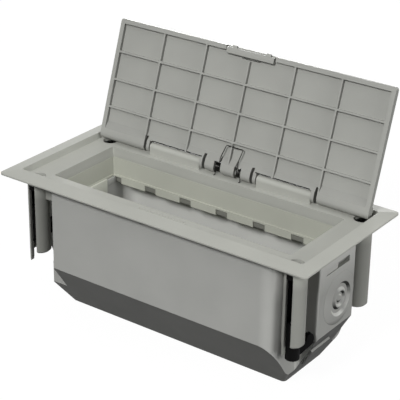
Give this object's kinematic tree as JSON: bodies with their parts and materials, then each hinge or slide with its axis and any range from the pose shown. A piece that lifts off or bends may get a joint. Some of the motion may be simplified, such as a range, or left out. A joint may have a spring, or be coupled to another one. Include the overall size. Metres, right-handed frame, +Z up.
{
  "type": "furniture socket box",
  "caption": "Flush-mounted furniture socket box: lidded bezel frame, deep wiring tub, insert for wiring modules and screw-driven clamp claws for a worktop cut-out.",
  "frame": {"origin": "middle of the flat underside of the tub", "axes": "+X along the box to the right, -Y to the front where the lid's free edge shuts, +Z up through the lid"},
  "size_m": [0.179, 0.09, 0.1338],
  "materials": {
    "frame_grey": "satin",
    "lid_grey": "satin",
    "tub_grey": "satin",
    "module_grey": "satin",
    "spring_wire": "dark wire",
    "black_screw": "black zinc",
    "black_plastic": "matte",
    "brass": "turned"
  },
  "bodies": {
    "box": {"top_frame": "frame_grey", "tub": "tub_grey", "module_frame": "module_grey"},
    "lid": {"lid_panel": "lid_grey", "lid_spring": "spring_wire"},
    "latch": {"latch_bar": "lid_grey", "latch_thumb_pad": "lid_grey"},
    "screw_front_left": {"clamp_screw_front_left": "black_screw", "screw_retainer_front_left": "black_plastic"},
    "nut_front_left": {"threaded_insert_front_left": "brass", "clamp_claw_front_left": "black_plastic"},
    "screw_front_right": {"clamp_screw_front_right": "black_screw", "screw_retainer_front_right": "black_plastic"},
    "nut_front_right": {"threaded_insert_front_right": "brass"},
    "claw_front_right": {"clamp_claw_front_right": "black_plastic"},
    "screw_rear_left": {"clamp_screw_rear_left": "black_screw", "screw_retainer_rear_left": "black_plastic"},
    "nut_rear_left": {"threaded_insert_rear_left": "brass"},
    "claw_rear_left": {"clamp_claw_rear_left": "black_plastic"},
    "screw_rear_right": {"clamp_screw_rear_right": "black_screw", "screw_retainer_rear_right": "black_plastic"},
    "nut_rear_right": {"threaded_insert_rear_right": "brass", "clamp_claw_rear_right": "black_plastic"}
  },
  "joints": [
    {"name": "lid_hinge", "type": "hinge", "parent": "box", "child": "lid", "pos_m": [0, 0.0286, 0.0752], "axis": [1, 0, 0], "range_deg": [0, 108.1], "stiffness_Nm_per_rad": 0.0037, "springref_deg": -45.84, "deforming": ["lid_spring"]},
    {"name": "latch_slide", "type": "slide", "parent": "lid", "child": "latch", "axis": [0, 0.3107, 0.9505], "range_m": [0, 0.0012]},
    {"name": "screw_spin_front_left", "type": "hinge", "parent": "box", "child": "screw_front_left", "pos_m": [-0.076, -0.0281, 0.0678], "axis": [0, 0, 1], "continuous": true},
    {"name": "claw_climb_front_left", "type": "slide", "parent": "box", "child": "nut_front_left", "axis": [0, 0, 1], "range_m": [-0.0126, 0.0084]},
    {"name": "screw_spin_front_right", "type": "hinge", "parent": "box", "child": "screw_front_right", "pos_m": [0.076, -0.0281, 0.0678], "axis": [0, 0, 1], "continuous": true},
    {"name": "claw_climb_front_right", "type": "slide", "parent": "box", "child": "nut_front_right", "axis": [0, 0, 1], "range_m": [0, 0.021]},
    {"name": "claw_swing_front_right", "type": "hinge", "parent": "nut_front_right", "child": "claw_front_right", "pos_m": [0.076, -0.0281, 0.0313], "axis": [0, 0, -1], "range_deg": [0, 153]},
    {"name": "screw_spin_rear_left", "type": "hinge", "parent": "box", "child": "screw_rear_left", "pos_m": [-0.076, 0.0281, 0.0678], "axis": [0, 0, 1], "continuous": true},
    {"name": "claw_climb_rear_left", "type": "slide", "parent": "box", "child": "nut_rear_left", "axis": [0, 0, 1], "range_m": [0, 0.021]},
    {"name": "claw_swing_rear_left", "type": "hinge", "parent": "nut_rear_left", "child": "claw_rear_left", "pos_m": [-0.076, 0.0281, 0.0313], "axis": [0, 0, -1], "range_deg": [0, 153]},
    {"name": "screw_spin_rear_right", "type": "hinge", "parent": "box", "child": "screw_rear_right", "pos_m": [0.076, 0.0281, 0.0678], "axis": [0, 0, 1], "continuous": true},
    {"name": "claw_climb_rear_right", "type": "slide", "parent": "box", "child": "nut_rear_right", "axis": [0, 0, 1], "range_m": [-0.0126, 0.0084]}
  ]
}
